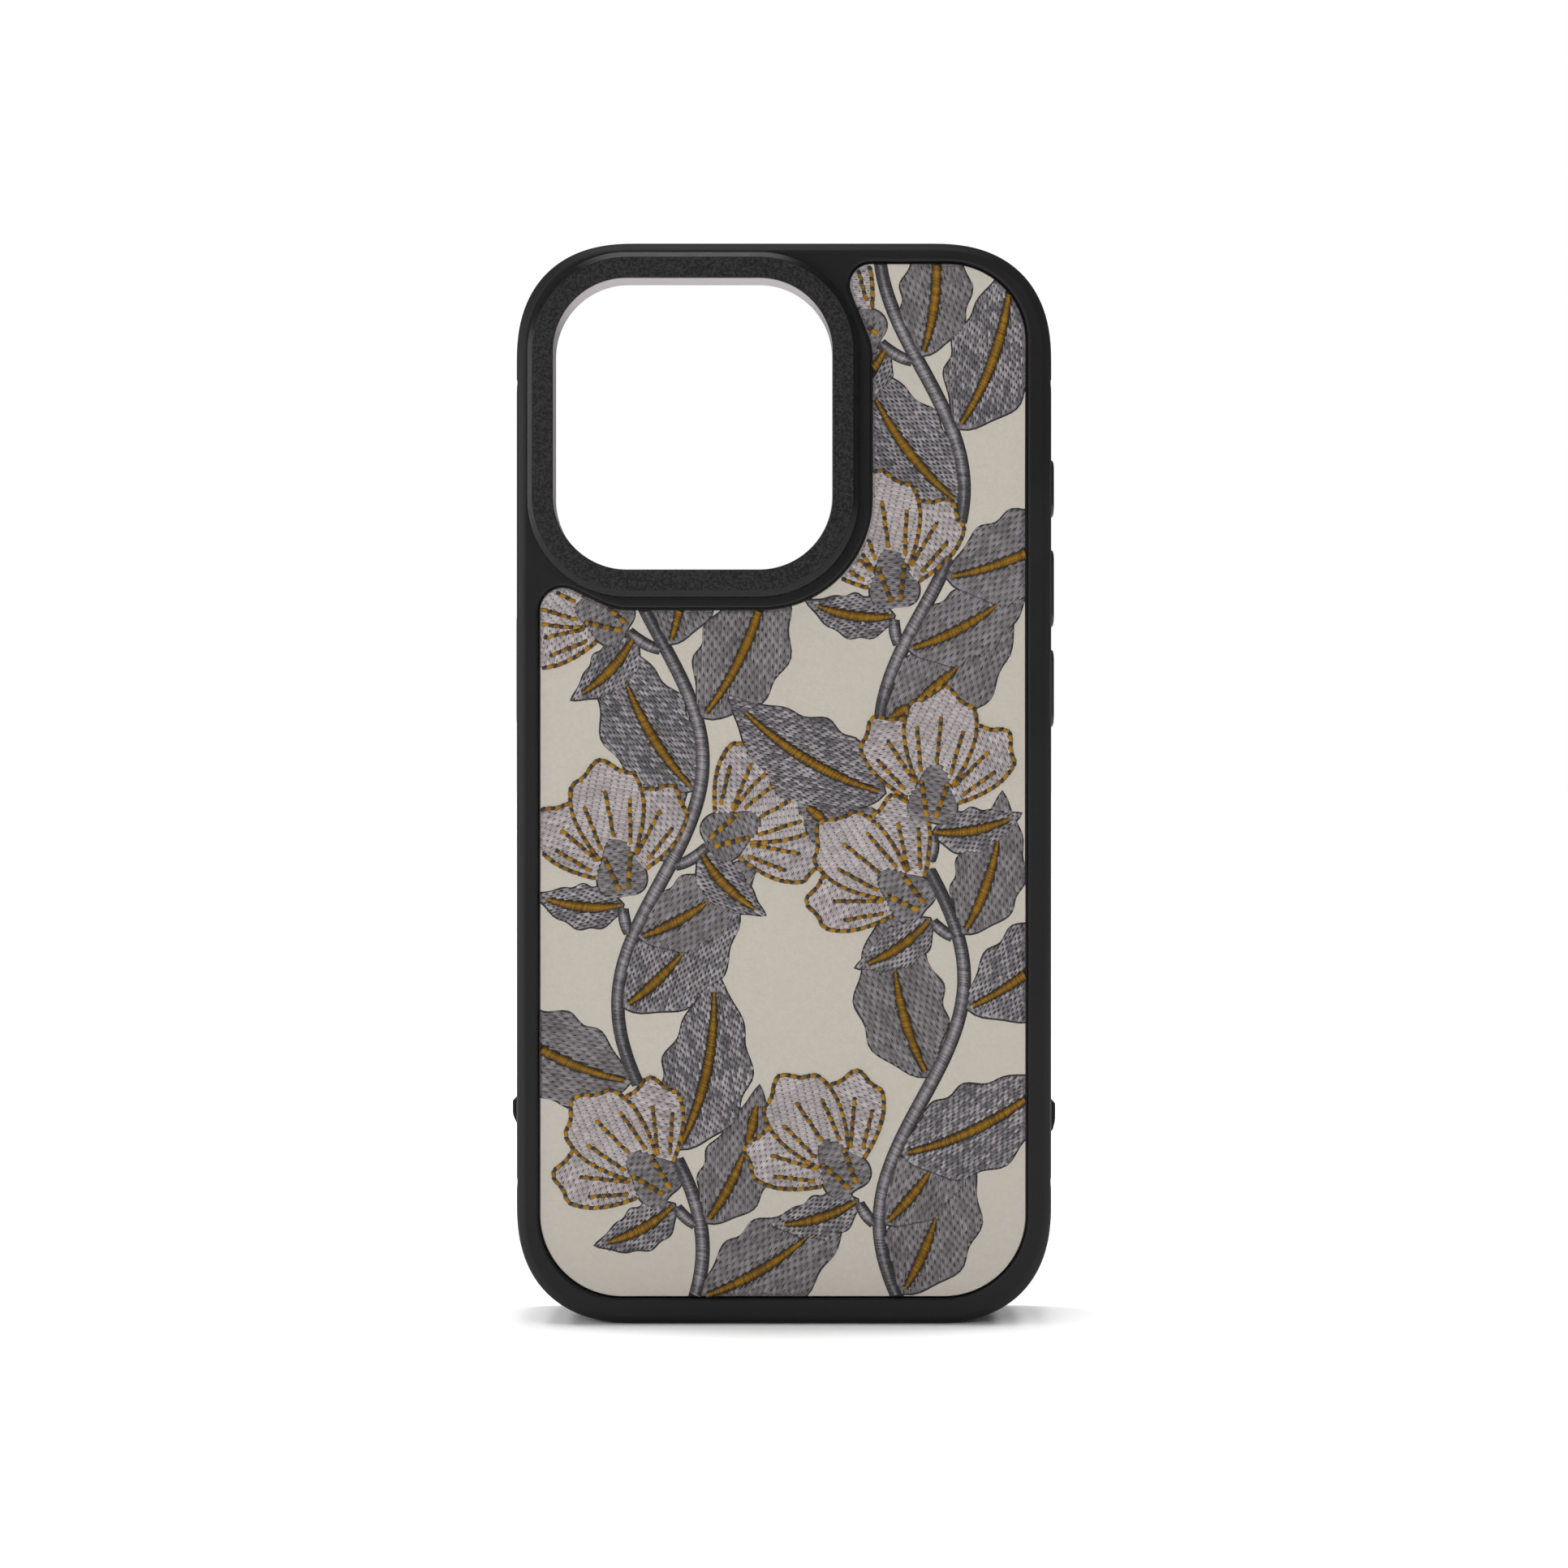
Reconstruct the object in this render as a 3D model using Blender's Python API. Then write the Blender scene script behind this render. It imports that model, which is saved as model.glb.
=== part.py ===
"""Phone case: a soft bumper round a hard back plate, with a leather panel and a camera ring.

Metres, +Z up. The case stands on its bottom edge. The decorated back faces -Y and the open
screen side faces +Y. The origin is under the middle of the case, on its bottom edge.
Lengths below are millimetres; MM turns them into metres when a mesh is made.
"""

import math

import bmesh
import bpy
from mathutils import Matrix, Vector

MM = 0.001
render_steps = 12  # segments in a quarter turn

# ---- planes along Y, counted from the phone's back ------------------------------------
PHONE_BACK = -2.3
FRONT_EDGE = PHONE_BACK + 9.5
LIP_BACK = PHONE_BACK + 8.25
LINING = (PHONE_BACK - 0.40, PHONE_BACK - 0.05)
PLATE = (PHONE_BACK - 1.75, PHONE_BACK - 0.45)
FLANGE_FRONT = PHONE_BACK - 1.80
PANEL_GLUE = (PHONE_BACK - 1.90, PHONE_BACK - 1.80)
PANEL = (PHONE_BACK - 2.60, PHONE_BACK - 1.95)
RIM = PHONE_BACK - 3.0
RING_GLUE = (PHONE_BACK - 3.15, PHONE_BACK - 3.05)
RING_SEAT = PHONE_BACK - 3.20
RING_FACE = PHONE_BACK - 4.9
MAGNET_GROOVE = PHONE_BACK - 1.45
MAGNET_FILM = (PHONE_BACK - 1.42, PHONE_BACK - 1.34)
MAGNETS = (PHONE_BACK - 1.29, PHONE_BACK - 0.51)

# ---- outlines in X and Z ---------------------------------------------------------------
OUTER = (75.9, 153.2)
CORNER = 16.9
SQUARENESS = 2.4  # 2 is a circular corner; more is a fuller one
MID_Z = OUTER[1] / 2
WALL = 2.2
END_WALL = 1.8  # above and below the phone
LIP_OVERHANG = 1.2
PLATE_GAP = 0.1

CAMERA = (-12.82, 127.1)
CAMERA_HOLE = (39.4, 41.1, 10.4)
SKIRT = 0.95
SKIRT_GAP = 0.15
RING_OUTER = (46.7, 48.6, 14.0)
RING_TOP = (44.6, 46.3, 13.0)

# corner x, corner z, fillet radius, going round the panel
PANEL_CORNERS = (
    (-34.5, 4.0, 11.6),
    (34.2, 4.0, 11.6),
    (34.2, 150.1, 11.0),
    (7.9, 150.1, 3.0),
    (12.55, 138.4, 9.0),
    (12.55, 101.1, 15.8),
    (-23.9, 101.1, 9.0),
    (-34.5, 106.1, 3.2),
)
PANEL_GAP = 0.25

MAGNET_CENTRE = (0.0, 74.5)
MAGNET_RADII = (23.2, 27.8)
MAGNET_COUNT = 16
MAGNET_ARC = 21.4  # degrees of each magnet
BAR_MAGNET = (4.4, 19.0, 33.1)  # width, length, centre height
POCKET_GAP = 0.15

BUTTON_Y = PHONE_BACK + 4.1
SHOULDER = 37.0
BUTTON_FLANGE = (36.55, 36.95)
BUTTON_PAD = (36.2, 36.5)
HEAD_WIDTH = 3.6
# name, side, centre height, length, how far out the head reaches
BUTTONS = (
    ("action_button", 1, 119.1, 8.3, 38.85),
    ("volume_up_button", 1, 104.7, 11.2, 38.85),
    ("volume_down_button", 1, 90.3, 11.2, 38.85),
    ("side_button", -1, 92.9, 17.0, 38.5),
)
LUG_REACH = 38.8

# ---- materials -------------------------------------------------------------------------
LOOKS = {
    "bumper": ((0.018, 0.019, 0.022), 0.55, 0.0),
    "back_plate": ((0.022, 0.022, 0.024), 0.35, 0.0),
    "leather": ((0.56, 0.51, 0.43), 0.6, 0.0),
    "adhesive": ((0.62, 0.60, 0.52), 0.5, 0.0),
    "camera_ring": ((0.02, 0.021, 0.026), 0.4, 0.6),
    "button": ((0.02, 0.021, 0.024), 0.3, 0.0),
    "pad": ((0.07, 0.07, 0.075), 0.7, 0.0),
    "lining": ((0.05, 0.05, 0.055), 0.95, 0.0),
    "magnet": ((0.55, 0.55, 0.56), 0.3, 1.0),
    "film": ((0.75, 0.75, 0.72), 0.4, 0.0),
}


def material(slot):
    """The named material, made once."""
    found = bpy.data.materials.get(slot)
    if found:
        return found
    colour, rough, metal = LOOKS[slot]
    made = bpy.data.materials.new(slot)
    made.use_nodes = True
    shader = made.node_tree.nodes["Principled BSDF"]
    shader.inputs["Base Color"].default_value = (*colour, 1.0)
    shader.inputs["Roughness"].default_value = rough
    shader.inputs["Metallic"].default_value = metal
    made.diffuse_color = (*colour, 1.0)
    return made


# ---- outlines --------------------------------------------------------------------------
def rounded(width, height, radius, centre=(0.0, MID_Z), power=2.0, steps=render_steps):
    """A rectangle with rounded corners, as a loop of points."""
    loop = []
    for quarter in range(4):
        sx, sy = ((1, 1), (-1, 1), (-1, -1), (1, -1))[quarter]
        for i in range(steps + 1):
            turn = math.pi / 2 * i / steps
            if quarter % 2:
                turn = math.pi / 2 - turn
            u = radius * max(math.cos(turn), 0.0) ** (2 / power)
            v = radius * max(math.sin(turn), 0.0) ** (2 / power)
            loop.append((
                centre[0] + sx * (width / 2 - radius + u),
                centre[1] + sy * (height / 2 - radius + v),
            ))
    return loop


def body_outline(inset):
    """The case's outline, moved inwards."""
    return rounded(
        OUTER[0] - 2 * inset, OUTER[1] - 2 * inset, CORNER - inset, power=SQUARENESS
    )


def cavity_outline(inset):
    """The outline of the space for the phone, moved inwards."""
    return rounded(
        OUTER[0] - 2 * (WALL + inset), OUTER[1] - 2 * (END_WALL + inset),
        CORNER - WALL - inset, power=SQUARENESS,
    )


def round_rect(size, grow=0.0, centre=CAMERA):
    """A width, height and radius as an outline, grown all round."""
    return rounded(size[0] + 2 * grow, size[1] + 2 * grow, size[2] + grow, centre)


def stadium(length, width, centre=(0.0, 0.0), steps=6):
    """A slot with round ends, longest along the second coordinate."""
    radius = width / 2
    loop = []
    for end in (1, -1):
        for i in range(2 * steps + 1):
            turn = math.pi * i / (2 * steps)
            loop.append((
                centre[0] + end * radius * math.cos(turn),
                centre[1] + end * (length / 2 - radius + radius * math.sin(turn)),
            ))
    return loop


def circle(radius, centre=MAGNET_CENTRE, steps=48):
    loop = []
    for i in range(steps):
        turn = 2 * math.pi * i / steps
        loop.append((centre[0] + radius * math.cos(turn), centre[1] + radius * math.sin(turn)))
    return loop


def filleted(corners, step_degrees=8.0):
    """A polygon with an arc of the given radius at each corner."""
    loop = []
    count = len(corners)
    for i, (x, z, radius) in enumerate(corners):
        here = Vector((x, z))
        back = (Vector(corners[i - 1][:2]) - here).normalized()
        ahead = (Vector(corners[(i + 1) % count][:2]) - here).normalized()
        half = back.angle(ahead) / 2
        centre = here + (back + ahead).normalized() * (radius / math.sin(half))
        start = here + back * (radius / math.tan(half)) - centre
        turn = math.pi - 2 * half
        left_turn = back.x * ahead.y - back.y * ahead.x < 0
        steps = max(3, round(math.degrees(turn) / step_degrees))
        for k in range(steps + 1):
            angle = turn * k / steps * (1 if left_turn else -1)
            spin = Matrix.Rotation(angle, 2)
            loop.append(tuple(centre + spin @ start))
    return loop


def offset(loop, distance):
    """A loop that runs anticlockwise, moved outwards by a small distance."""
    moved = []
    count = len(loop)
    for i in range(count):
        before, after = Vector(loop[i - 1]), Vector(loop[(i + 1) % count])
        along = (after - before).normalized()
        moved.append((loop[i][0] + along.y * distance, loop[i][1] - along.x * distance))
    return moved


# ---- solids ----------------------------------------------------------------------------
def place(axis, level, point):
    """Puts an outline point at a level along an axis."""
    a, b = point
    spot = {"X": (level, a, b), "Y": (a, level, b), "Z": (a, b, level)}[axis]
    return Vector(spot) * MM


def loft(name, axis, levels, closed=False):
    """A solid skinned over outlines, capped at both ends or closed into a ring."""
    mesh = bpy.data.meshes.new(name)
    shape = bmesh.new()
    rings = [[shape.verts.new(place(axis, level, p)) for p in loop] for level, loop in levels]
    count = len(rings[0])
    pairs = list(zip(rings, rings[1:]))
    if closed:
        pairs.append((rings[-1], rings[0]))
    for low, high in pairs:
        for i in range(count):
            j = (i + 1) % count
            shape.faces.new((low[i], low[j], high[j], high[i]))
    if not closed:
        shape.faces.new(rings[0])
        shape.faces.new(rings[-1])
    bmesh.ops.recalc_face_normals(shape, faces=shape.faces)
    shape.to_mesh(mesh)
    shape.free()
    made = bpy.data.objects.new(name, mesh)
    bpy.context.collection.objects.link(made)
    return made


def prism(name, axis, loop, low, high):
    return loft(name, axis, ((low, loop), (high, loop)))


def combine(target, tools, operation):
    """Cuts the tools from the target, or joins them to it, and clears them away."""
    for tool in tools:
        tool.hide_render = True
        tool.display_type = "WIRE"
        step = target.modifiers.new(operation.lower(), "BOOLEAN")
        step.operation = operation
        step.solver = "EXACT"
        step.object = tool
    graph = bpy.context.evaluated_depsgraph_get()
    result = bpy.data.meshes.new_from_object(target.evaluated_get(graph))
    old = target.data
    target.modifiers.clear()
    target.data = result
    result.name = target.name
    bpy.data.meshes.remove(old)
    for tool in tools:
        spare = tool.data
        bpy.data.objects.remove(tool, do_unlink=True)
        bpy.data.meshes.remove(spare)
    return target


def finish(made, slot, pivot=(0.0, 0.0, 0.0)):
    """Gives a piece its material and sets its origin."""
    made.data.materials.clear()
    made.data.materials.append(material(slot))
    shift = Vector(pivot) * MM
    made.data.transform(Matrix.Translation(-shift))
    made.location = shift
    return made


# ---- the pieces ------------------------------------------------------------------------
def side_lug(side):
    """A small moulded lug low on the side wall, square above and sloped below."""
    if side > 0:
        shape = (
            (37.4, 31.0), (LUG_REACH, 30.8), (LUG_REACH, 28.6), (38.45, 27.1), (37.4, 26.9),
        )
    else:
        shape = (
            (37.4, 31.4), (LUG_REACH, 31.2), (LUG_REACH, 29.2), (37.95, 27.4), (37.4, 27.4),
        )
    loop = [(side * x, z) for x, z in shape]
    levels = [(PHONE_BACK + y, loop) for y in (0.8, 6.4)]
    return loft("lug", "Y", levels)


def side_groove(side, height):
    """The shallow seam across the side wall where the corner bumper starts."""
    reach = OUTER[0] / 2
    loop = [
        (side * (reach - 0.15), height - 0.25), (side * (reach - 0.15), height + 0.25),
        (side * (reach + 0.3), height + 3.6), (side * (reach + 0.3), height - 3.6),
    ]
    return prism("groove", "Y", loop, PHONE_BACK - 2.2, PHONE_BACK + 8.0)


def bumper_frame():
    shoulder = (
        (RIM, 1.30), (RIM + 0.12, 0.90), (RIM + 0.42, 0.48), (RIM + 0.95, 0.15),
        (RIM + 1.7, 0.0), (FRONT_EDGE - 2.2, 0.0), (FRONT_EDGE - 1.1, 0.22),
        (FRONT_EDGE - 0.4, 0.62), (FRONT_EDGE, 1.2),
    )
    body = loft("bumper_frame", "Y", [(y, body_outline(inset)) for y, inset in shoulder])
    pad = [(37.4, 34.1), (38.12, 33.6), (38.12, 24.1), (37.4, 23.6)]
    combine(body, [
        prism("lug_pad", "Y", pad, PHONE_BACK + 0.3, PHONE_BACK + 6.9),
    ], "UNION")
    combine(body, [side_lug(1), side_lug(-1)], "UNION")

    opening = offset(filleted(PANEL_CORNERS), PANEL_GAP)
    mouth = LIP_OVERHANG
    tools = [
        prism("cavity", "Y", cavity_outline(0.0), FLANGE_FRONT, LIP_BACK),
        loft("mouth", "Y", (
            (LIP_BACK - 0.4, cavity_outline(mouth)),
            (FRONT_EDGE - 0.5, cavity_outline(mouth)),
            (FRONT_EDGE + 0.5, cavity_outline(mouth - 0.7)),
        )),
        prism("panel_opening", "Y", opening, RIM - 1.0, FLANGE_FRONT + 0.3),
        prism(
            "camera_opening", "Y", round_rect(CAMERA_HOLE, SKIRT + SKIRT_GAP),
            RIM - 1.0, FLANGE_FRONT + 0.3,
        ),
    ]
    for _, side, height, length, _ in BUTTONS:
        centre = (BUTTON_Y, height)
        pocket = stadium(length + 1.6, HEAD_WIDTH + 1.6, centre)
        window = stadium(length + 0.3, HEAD_WIDTH + 0.3, centre)
        inner, outer = sorted((side * 35.0, side * SHOULDER))
        tools.append(prism("pocket", "X", pocket, inner, outer))
        inner, outer = sorted((side * (SHOULDER - 0.2), side * 39.5))
        tools.append(prism("window", "X", window, inner, outer))
    for side in (1, -1):
        for height in (20.1, 133.4):
            tools.append(side_groove(side, height))

    # charging port, and a row of sound holes each side of it
    port = [(b, a) for a, b in stadium(13.0, 6.6, (BUTTON_Y, 0.0))]
    tools.append(prism("port", "Z", port, -1.0, 4.0))
    for side in (1, -1):
        for k in range(4):
            x = side * (11.4 + 3.1 * k)
            hole = circle(0.95, (x, BUTTON_Y), 12)
            tools.append(prism("sound_hole", "Z", hole, -1.0, 4.0))
    combine(body, tools, "DIFFERENCE")
    return finish(body, "bumper", (0.0, 0.0, MID_Z))


def back_plate():
    plate = prism("back_plate", "Y", cavity_outline(PLATE_GAP), *PLATE)
    hole = prism(
        "hole", "Y", round_rect(CAMERA_HOLE, SKIRT + SKIRT_GAP), PLATE[0] - 1, PLATE[1] + 1
    )
    groove = loft("groove", "Y", (
        (MAGNET_GROOVE, circle(MAGNET_RADII[0] - POCKET_GAP)),
        (PLATE[1] + 0.5, circle(MAGNET_RADII[0] - POCKET_GAP)),
        (PLATE[1] + 0.5, circle(MAGNET_RADII[1] + POCKET_GAP)),
        (MAGNET_GROOVE, circle(MAGNET_RADII[1] + POCKET_GAP)),
    ), closed=True)
    width, length, height = BAR_MAGNET
    slot = rounded(width + 0.3, length + 0.3, 1.0, (0.0, height), steps=3)
    bar = prism("bar", "Y", slot, MAGNET_GROOVE, PLATE[1] + 0.5)
    combine(plate, [hole, groove, bar], "DIFFERENCE")
    return finish(plate, "back_plate", (0.0, 0.0, MID_Z))


def leather_panel():
    outline = filleted(PANEL_CORNERS)
    panel = loft("leather_panel", "Y", (
        (PANEL[1], outline),
        (PANEL[0] + 0.15, outline),
        (PANEL[0] + 0.04, offset(outline, -0.05)),
        (PANEL[0], offset(outline, -0.16)),
    ))
    finish(panel, "leather", (0.0, 0.0, MID_Z))
    glue = prism("panel_adhesive", "Y", offset(outline, -0.5), *PANEL_GLUE)
    finish(glue, "adhesive", (0.0, 0.0, MID_Z))


def camera_ring():
    """A raised ring with a skirt that lines the camera opening."""
    hole = CAMERA_HOLE
    ring = loft("camera_ring", "Y", (
        (RING_SEAT, round_rect(hole, SKIRT)),
        (PHONE_BACK - 0.10, round_rect(hole, SKIRT)),
        (PHONE_BACK - 0.10, round_rect(hole, -0.12)),
        (RING_FACE + 0.25, round_rect(hole)),
        (RING_FACE, round_rect(hole, 0.12)),
        (RING_FACE, round_rect(RING_TOP)),
        (RING_FACE + 1.15, round_rect(RING_OUTER)),
        (RING_SEAT, round_rect(RING_OUTER)),
    ), closed=True)
    finish(ring, "camera_ring", (CAMERA[0], 0.0, CAMERA[1]))
    inner, outer = round_rect(hole, SKIRT + 0.45), round_rect(RING_OUTER, -0.6)
    glue = loft("camera_ring_adhesive", "Y", (
        (RING_GLUE[0], inner), (RING_GLUE[1], inner), (RING_GLUE[1], outer), (RING_GLUE[0], outer),
    ), closed=True)
    finish(glue, "adhesive", (CAMERA[0], 0.0, CAMERA[1]))


def lining():
    cloth = prism("microfiber_lining", "Y", cavity_outline(0.25), *LINING)
    hole = prism(
        "hole", "Y", round_rect(CAMERA_HOLE, SKIRT + 0.3), LINING[0] - 1, LINING[1] + 1
    )
    combine(cloth, [hole], "DIFFERENCE")
    finish(cloth, "lining", (0.0, 0.0, MID_Z))


def magnets():
    """A ring of arc magnets on a film, with a bar below that sets the ring's direction."""
    inner, outer = MAGNET_RADII
    film = loft("magnet_film", "Y", (
        (MAGNET_FILM[0], circle(inner)), (MAGNET_FILM[1], circle(inner)),
        (MAGNET_FILM[1], circle(outer)), (MAGNET_FILM[0], circle(outer)),
    ), closed=True)
    middle = (MAGNET_CENTRE[0], 0.0, MAGNET_CENTRE[1])
    finish(film, "film", middle)
    for k in range(MAGNET_COUNT):
        centre = 360.0 / MAGNET_COUNT * (k + 0.5)
        arc = []
        for radius, order in ((inner + 0.1, range(5)), (outer - 0.1, range(4, -1, -1))):
            for i in order:
                turn = math.radians(centre + MAGNET_ARC * (i / 4 - 0.5))
                arc.append((
                    MAGNET_CENTRE[0] + radius * math.cos(turn),
                    MAGNET_CENTRE[1] + radius * math.sin(turn),
                ))
        magnet = prism(f"ring_magnet_{k + 1:02d}", "Y", arc, *MAGNETS)
        finish(magnet, "magnet", middle)
    width, length, height = BAR_MAGNET
    bar = rounded(width, length, 0.8, (0.0, height), steps=3)
    made = prism("alignment_magnet", "Y", bar, MAGNETS[0] - 0.1, MAGNETS[1])
    finish(made, "magnet", (0.0, 0.0, height))


def side_button(name, side, height, length, reach):
    """A cap held behind the wall by its flange, and the soft pad that meets the phone."""
    centre = (BUTTON_Y, height)
    flange = stadium(length + 1.2, HEAD_WIDTH + 1.2, centre)
    head = stadium(length, HEAD_WIDTH, centre)
    crown = stadium(length - 0.5, HEAD_WIDTH - 0.5, centre)
    cap = loft(name, "X", (
        (side * BUTTON_FLANGE[0], flange), (side * BUTTON_FLANGE[1], flange),
        (side * BUTTON_FLANGE[1], head), (side * (reach - 0.22), head),
        (side * reach, crown),
    ))
    pivot = (side * reach, BUTTON_Y, height)
    finish(cap, "button", pivot)
    soft = stadium(length - 1.0, HEAD_WIDTH - 0.8, centre)
    low, high = sorted((side * BUTTON_PAD[0], side * BUTTON_PAD[1]))
    finish(prism(f"{name}_pad", "X", soft, low, high), "pad", pivot)


def build():
    for old in list(bpy.data.objects):
        bpy.data.objects.remove(old, do_unlink=True)
    bumper_frame()
    back_plate()
    leather_panel()
    camera_ring()
    lining()
    magnets()
    for button in BUTTONS:
        side_button(*button)


build()
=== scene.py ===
import math
import random

import bmesh
import bpy
import numpy as np
from mathutils import Matrix, Vector, noise
from mathutils.geometry import delaunay_2d_cdt


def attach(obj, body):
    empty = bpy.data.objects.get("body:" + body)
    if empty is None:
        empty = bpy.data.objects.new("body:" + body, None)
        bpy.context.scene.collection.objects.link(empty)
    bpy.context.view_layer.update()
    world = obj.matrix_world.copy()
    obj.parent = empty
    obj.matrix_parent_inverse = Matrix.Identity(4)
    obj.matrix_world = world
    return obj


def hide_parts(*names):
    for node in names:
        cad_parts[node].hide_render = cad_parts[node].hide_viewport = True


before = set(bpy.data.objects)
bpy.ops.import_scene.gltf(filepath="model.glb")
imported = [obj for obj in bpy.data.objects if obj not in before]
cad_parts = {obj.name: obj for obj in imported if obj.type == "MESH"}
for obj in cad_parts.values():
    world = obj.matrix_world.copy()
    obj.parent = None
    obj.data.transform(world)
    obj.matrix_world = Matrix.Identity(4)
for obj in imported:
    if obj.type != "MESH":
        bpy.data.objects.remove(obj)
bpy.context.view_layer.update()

MM = 0.001
random.seed(7)

# ---- Sizes, in millimetres in the CAD frame: +Z up, the decorated back faces -Y ----
PHONE_BACK = -2.3
FRONT_EDGE = PHONE_BACK + 9.5
LIP_BACK = PHONE_BACK + 8.25
FLANGE_FRONT = PHONE_BACK - 1.80
PANEL = (PHONE_BACK - 2.60, PHONE_BACK - 1.95)
RIM = PHONE_BACK - 3.0
RING_SEAT = PHONE_BACK - 3.20
RING_FACE = PHONE_BACK - 4.9
LINING = (PHONE_BACK - 0.40, PHONE_BACK - 0.05)

OUTER = (75.9, 153.2)
CORNER = 16.9
SQUARENESS = 2.4
MID_Z = OUTER[1] / 2
WALL = 2.2
END_WALL = 1.8
LIP_OVERHANG = 1.2
CAMERA = (-12.82, 127.1)
CAMERA_HOLE = (39.4, 41.1, 10.4)
SKIRT = 0.95
RING_OUTER = (46.7, 48.6, 14.0)
RING_TOP = (44.6, 46.3, 13.0)
PANEL_CORNERS = (
    (-34.5, 4.0, 11.6), (34.2, 4.0, 11.6), (34.2, 150.1, 11.0), (7.9, 150.1, 3.0),
    (12.55, 138.4, 9.0), (12.55, 101.1, 15.8), (-23.9, 101.1, 9.0), (-34.5, 106.1, 3.2),
)
PANEL_GAP = 0.25
BUTTON_Y = PHONE_BACK + 4.1
SHOULDER = 37.0
BUTTON_FLANGE = (36.55, 36.95)
HEAD_WIDTH = 3.6
# node, body, side of the case, height, length, how far out its face is
BUTTONS = (
    ("action_button", "action_key", 1, 119.1, 8.3, 38.85),
    ("volume_up_button", "volume_up_key", 1, 104.7, 11.2, 38.85),
    ("volume_down_button", "volume_down_key", 1, 90.3, 11.2, 38.85),
    ("side_button", "side_key", -1, 92.9, 17.0, 38.5),
)
LUG_REACH = 38.8
SEAMS = (20.1, 133.4)
FRONT_ROUND = 2.2
PORT = (13.0, 6.6)
SOUND_HOLES = (0.95, 11.4, 3.1)  # radius, place of the first, spacing
RING_MAGNETS = 16
MAP_CORNER = (-0.04, -0.002)
MAP_SIZE = 0.16

# the rows of stitches
ROW_CLEAR = 0.24
END_GAP = 0.06
END_JITTER = 0.09
SHORTEST = 0.3


# ---- Materials ----
def linear(r, g, b):
    """An 8-bit display colour as linear light."""
    out = []
    for c in (r, g, b):
        c /= 255
        out.append(c / 12.92 if c <= 0.04045 else ((c + 0.055) / 1.055) ** 2.4)
    return (*out, 1.0)


class Look:
    """A Principled material with helpers for its nodes. Texture scales are per metre."""

    def __init__(self, name, **sockets):
        self.mat = bpy.data.materials.new(name)
        self.mat.use_nodes = True
        self.tree = self.mat.node_tree
        self.shader = self.tree.nodes["Principled BSDF"]
        for socket, value in sockets.items():
            self.shader.inputs[socket.replace("_", " ")].default_value = value
        self.place = self.tree.nodes.new("ShaderNodeTexCoord").outputs["Object"]
        self.height = None

    def node(self, kind, **values):
        made = self.tree.nodes.new(kind)
        for key, value in values.items():
            if key in made.inputs:
                made.inputs[key].default_value = value
            else:
                setattr(made, key, value)
        return made

    def link(self, a, b):
        self.tree.links.new(a, b)

    def noise(self, scale, detail=3.0, rough=0.5, stretch=None):
        made = self.node("ShaderNodeTexNoise", Scale=scale, Detail=detail, Roughness=rough)
        source = self.place
        if stretch:
            mapping = self.node("ShaderNodeMapping")
            mapping.inputs["Scale"].default_value = stretch
            self.link(source, mapping.inputs["Vector"])
            source = mapping.outputs["Vector"]
        self.link(source, made.inputs["Vector"])
        return made.outputs["Fac"]

    def cells(self, scale):
        made = self.node("ShaderNodeTexVoronoi", feature="F1", Scale=scale)
        self.link(self.place, made.inputs["Vector"])
        return made.outputs["Distance"]

    def ramp(self, value, low, high, out_low=0.0, out_high=1.0):
        made = self.node("ShaderNodeMapRange")
        self.link(value, made.inputs["Value"])
        for key, number in (
            ("From Min", low), ("From Max", high), ("To Min", out_low), ("To Max", out_high),
        ):
            made.inputs[key].default_value = number
        return made.outputs["Result"]

    def math(self, operation, a, b):
        made = self.node("ShaderNodeMath", operation=operation)
        for slot, value in enumerate((a, b)):
            if isinstance(value, (int, float)):
                made.inputs[slot].default_value = value
            else:
                self.link(value, made.inputs[slot])
        return made.outputs[0]

    def mix(self, factor, a, b):
        made = self.node("ShaderNodeMix", data_type="RGBA")
        self.link(factor, made.inputs["Factor"])
        for slot, value in ((6, a), (7, b)):
            if isinstance(value, tuple):
                made.inputs[slot].default_value = value
            else:
                self.link(value, made.inputs[slot])
        return made.outputs[2]

    def attribute(self, name):
        return self.node("ShaderNodeAttribute", attribute_name=name).outputs["Fac"]

    def colour(self, value):
        self.link(value, self.shader.inputs["Base Color"])

    def roughness(self, value):
        self.link(value, self.shader.inputs["Roughness"])

    def bump(self, value, depth_mm):
        """Adds relief of a depth in millimetres, on top of any given before."""
        made = self.node("ShaderNodeBump", Strength=1.0, Distance=depth_mm * MM)
        self.link(value, made.inputs["Height"])
        if self.height:
            self.link(self.height, made.inputs["Normal"])
        self.height = made.outputs["Normal"]
        self.link(self.height, self.shader.inputs["Normal"])


def moulded(name, dark, light, rough, grain_mm, depth_mm, **sockets):
    """Moulded plastic or rubber: a fine spark-eroded grain and a faint cloudiness."""
    look = Look(name, **sockets)
    cloud = look.noise(90, 4)
    look.colour(look.mix(look.ramp(cloud, 0.35, 0.65), dark, light))
    grain = look.noise(1000 / grain_mm, 2, 0.6)
    look.roughness(look.ramp(cloud, 0.3, 0.7, rough - 0.05, rough + 0.05))
    look.bump(grain, depth_mm)
    return look


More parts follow.
